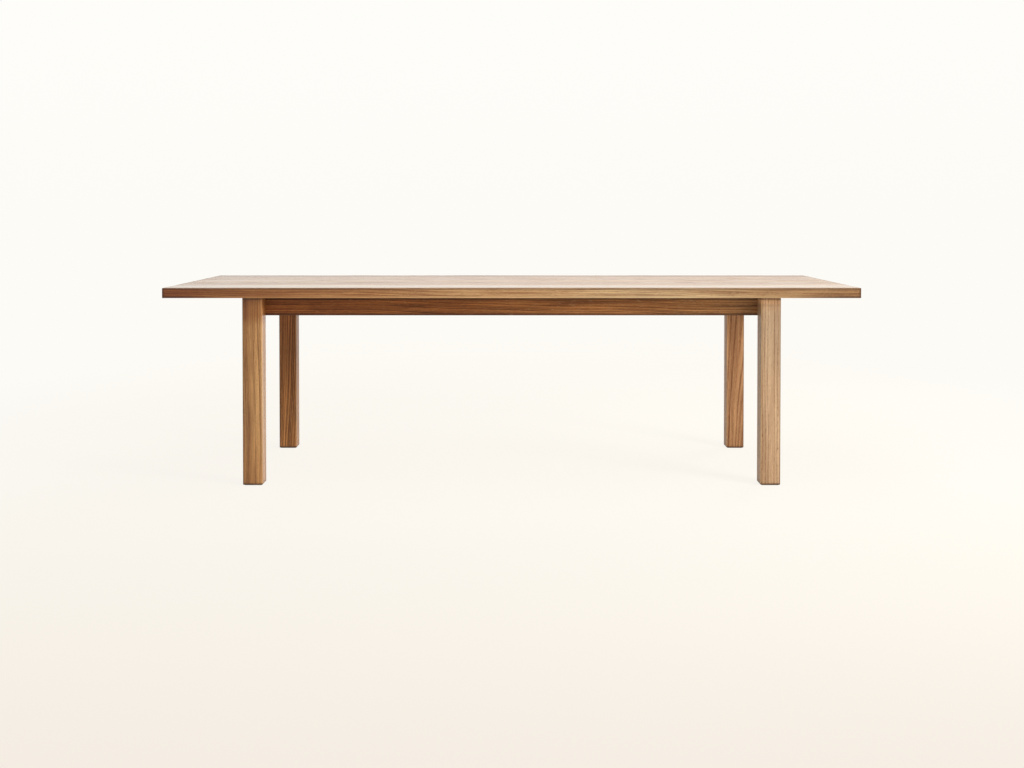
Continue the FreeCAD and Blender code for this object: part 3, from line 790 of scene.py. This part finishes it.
def square_washer(thickness):
    """Square plate washer, 30 mm, with eased edges and clipped corners."""
    half_width, corner, ease, bore, sink = 15.0, 20.3, 0.4, 5.5, 0.3
    return [circle(bore, sink), circle(bore + sink, 0.0), square(half_width - ease, corner - ease, 0.0),
            square(half_width, corner, ease), square(half_width, corner, thickness - ease),
            square(half_width - ease, corner - ease, thickness), circle(bore + sink, thickness),
            circle(bore, thickness - sink)]


def fasteners(name, node, rings, axis_of, hollow, material):
    """One detailed copy in the place of each solid of a CAD node, which it replaces."""
    shape = bmesh.new()
    for low, high in solids_of(node):
        middle = [(a + b) / 2 for a, b in zip(low, high)]
        axis = axis_of(middle)
        origin = {"Z": (middle[0], middle[1], low[2]), "Y": (middle[0], low[1], middle[2]),
                  "-Y": (middle[0], high[1], middle[2])}[axis]
        build_rings(shape, rings, origin, axis, hollow)
    bmesh.ops.recalc_face_normals(shape, faces=shape.faces)
    mesh = bpy.data.meshes.new(name)
    shape.to_mesh(mesh)
    shape.free()
    mesh.shade_smooth()
    mesh.set_sharp_from_angle(angle=SHARP_FROM)
    mesh.materials.append(material)
    piece = bpy.data.objects.new(name, mesh)
    scene.collection.objects.link(piece)
    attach(piece, "root")
    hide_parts(node)


def straight_up(middle):
    """Wood screws are driven from below."""
    return "Z"


def inward(middle):
    """From the legs toward the middle of the table."""
    return "Y" if middle[1] < 0 else "-Y"


zinc = bright_zinc()
fasteners("hex_screws_in_buttons", "button_screws", hex_screw(40.0, 4.0), straight_up, False, zinc)
fasteners("hex_screws_in_bearers", "bearer_screws", hex_screw(42.0, 4.0), straight_up, False, zinc)
fasteners("threaded_hanger_bolts", "hanger_bolts", hanger_bolt(84.0), inward, False, zinc)
fasteners("square_plate_washers", "bolt_washers", square_washer(3.0), inward, True, zinc)
fasteners("chamfered_hex_nuts", "bolt_nuts", hex_nut(8.0), inward, True, zinc)


# ---- Floor, background, lamps and camera ----

BACKDROP_HIGH = "FEFDF9"
BACKDROP_HORIZON = "FDFBF6"
# Colour of the floor by its place along Y, in metres from the middle of the table.
FLOOR_TONES = ((-14.0, BACKDROP_HORIZON), (-8.0, "FDFAF4"), (-5.0, "F9F4EC"), (-3.1, "F5EDE3"),
               (-2.0, "F9F4EB"), (-0.4, "FCF9F2"), (1.9, "FDFAF3"), (6.0, "FDFBF5"),
               (12.0, BACKDROP_HORIZON))
# Reach along X (m) where these tones start and end their fade into the horizon's.
FLOOR_TINT_REACH = (1.4, 3.6)
# Share of the floor's brightness that is real light near the table, which is what shows the shadow,
# and how bright that light is on open floor, where 1 renders a colour as written.
SHADOW_SHARE = 0.10
FLOOR_LIGHT = 0.78
# How far from the middle of the table (m) that share starts and ends its fade to nothing.
SHADOW_REACH = (1.2, 4.5)
# Sine of the angle above the horizon at which the background is as pale as it gets.
BACKDROP_RISE = 0.12


def seen_directly(tree):
    """1 for rays from the camera, a mirror or through glass, and 0 for the light that falls on things."""
    rays = add(tree, "LightPath").node.outputs
    seen = add(tree, "Math", {0: rays["Is Camera Ray"], 1: rays["Is Glossy Ray"]}, operation="MAXIMUM")
    return add(tree, "Math", {0: seen, 1: rays["Is Transmission Ray"]}, operation="MAXIMUM")


def pale_floor():
    """Wide paper floor. It fades into the background far away and keeps a soft shadow near the table."""
    reach = 60.0
    mesh = bpy.data.meshes.new("paper_floor")
    mesh.from_pydata([(-reach, -reach, 0), (reach, -reach, 0), (reach, reach, 0), (-reach, reach, 0)], [],
                     [(0, 1, 2, 3)])
    floor = bpy.data.objects.new("paper_floor", mesh)
    scene.collection.objects.link(floor)
    material = new_material("pale_paper")
    tree = material.node_tree
    place = add(tree, "TexCoord", out="Object")
    axes = add(tree, "SeparateXYZ", {0: place}).node.outputs
    nearest, farthest = FLOOR_TONES[0][0], FLOOR_TONES[-1][0]
    share = add(tree, "MapRange", {"Value": axes["Y"], "From Min": nearest, "From Max": farthest})
    tone = add(tree, "ValToRGB", {"Fac": share})
    ramp = tone.node.color_ramp
    ramp.elements[0].color = linear(FLOOR_TONES[0][1])
    ramp.elements[1].color = linear(FLOOR_TONES[-1][1])
    for stop, hex_colour in FLOOR_TONES[1:-1]:
        ramp.elements.new((stop - nearest) / (farthest - nearest)).color = linear(hex_colour)
    beside = add(tree, "Math", {0: axes["X"]}, operation="ABSOLUTE")
    beside = add(tree, "MapRange", {"Value": beside, "From Min": FLOOR_TINT_REACH[0],
                                    "From Max": FLOOR_TINT_REACH[1]}, interpolation_type="SMOOTHSTEP")
    tone = add(tree, "Mix", {0: beside, MIX_A: tone, MIX_B: linear(BACKDROP_HORIZON)}, out=MIXED,
               data_type="RGBA")
    distance = add(tree, "VectorMath", {0: place}, out="Value", operation="LENGTH")
    shadow_share = add(tree, "MapRange", {"Value": distance, "From Min": SHADOW_REACH[0],
                                          "From Max": SHADOW_REACH[1], "To Min": SHADOW_SHARE,
                                          "To Max": 0.0}, interpolation_type="SMOOTHSTEP")
    glow_share = add(tree, "Math", {0: shadow_share, 1: -FLOOR_LIGHT, 2: 1.0}, operation="MULTIPLY_ADD")
    paper = add(tree, "BsdfDiffuse", {"Color": tone})
    faint = add(tree, "VectorMath", {0: tone, 1: shadow_share}, operation="MULTIPLY")
    faint_paper = add(tree, "BsdfDiffuse", {"Color": faint})
    glow = add(tree, "Emission", {"Color": tone, "Strength": glow_share})
    seen_paper = add(tree, "AddShader", {0: glow, 1: faint_paper})
    surface = add(tree, "MixShader", {0: seen_directly(tree), 1: paper, 2: seen_paper})
    # The paper has one side, so that the underside of the table can be looked at from below.
    clear = add(tree, "BsdfTransparent")
    below = add(tree, "NewGeometry", out="Backfacing")
    surface = add(tree, "MixShader", {0: below, 1: surface, 2: clear})
    add(tree, "OutputMaterial", {"Surface": surface})
    mesh.materials.append(material)


def studio_air(ambient):
    """Pale background to look at, and a plain soft light from all sides."""
    world = bpy.data.worlds.new("studio_air")
    world.use_nodes = True
    scene.world = world
    tree = world.node_tree
    tree.nodes.clear()
    direction = add(tree, "TexCoord", out="Generated")
    rise = add(tree, "SeparateXYZ", {0: direction}, out="Z")
    share = add(tree, "MapRange", {"Value": rise, "From Max": BACKDROP_RISE})
    tone = add(tree, "ValToRGB", {"Fac": share})
    ramp = tone.node.color_ramp
    ramp.elements[0].color = linear(BACKDROP_HORIZON)
    ramp.elements[1].color = linear(BACKDROP_HIGH)
    seen = add(tree, "Background", {"Color": tone, "Strength": 1.0})
    light = add(tree, "Background", {"Color": linear("FFFDF8"), "Strength": ambient})
    surface = add(tree, "MixShader", {0: seen_directly(tree), 1: light, 2: seen})
    add(tree, "OutputWorld", {"Surface": surface})


def softbox(name, place, aim, width, height, power, colour="FFF8EE"):
    """Rectangular lamp at a place, turned to what it is aimed at (m), with its power in watts."""
    lamp = bpy.data.lights.new(name, "AREA")
    lamp.shape = "RECTANGLE"
    lamp.size = width
    lamp.size_y = height
    lamp.energy = power
    lamp.color = linear(colour)[:3]
    holder = bpy.data.objects.new(name, lamp)
    holder.location = place
    direction = holder.location.copy()
    for axis in range(3):
        direction[axis] = aim[axis] - place[axis]
    holder.rotation_euler = direction.to_track_quat("-Z", "Y").to_euler()
    # The buffed top shows the pale room in it, not the lamps.
    holder.visible_glossy = False
    scene.collection.objects.link(holder)


def place_camera():
    """Long lens almost level with the table, kept upright by a shift so that the legs stay parallel."""
    image_width = 1024
    image_height = 768
    focal_length = 1340.0       # pixels
    axis_column = 511.6         # where the lens axis meets the image, pixels from the left and from the top
    axis_row = 241.0
    distance = 5.058            # camera to the front edge of the top
    height = 1.0507
    tilt = 1.254                # degrees down from level
    lens = bpy.data.cameras.new("camera")
    lens.sensor_width = 36.0
    lens.lens = focal_length / image_width * lens.sensor_width
    lens.shift_x = (image_width / 2 - axis_column) / image_width
    lens.shift_y = (axis_row - image_height / 2) / image_width
    camera = bpy.data.objects.new("camera", lens)
    camera.location = (0.0, cad_box[0].y - distance, height)
    camera.rotation_euler = (math.radians(90 - tilt), 0.0, 0.0)
    scene.collection.objects.link(camera)
    scene.camera = camera


pale_floor()
studio_air(ambient=0.29)
softbox("key_softbox", (3.4, -2.8, 1.95), aim=(0.2, -0.3, 0.4), width=1.4, height=1.2, power=156.0)
softbox("fill_softbox", (3.2, 3.0, 1.9), aim=(0.0, 0.2, 0.4), width=1.6, height=1.2, power=60.0)
softbox("overhead_softbox", (0.2, -0.1, 3.1), aim=(0.0, 0.0, 0.0), width=3.0, height=1.6, power=34.0)
place_camera()
scene.view_settings.view_transform = "Standard"
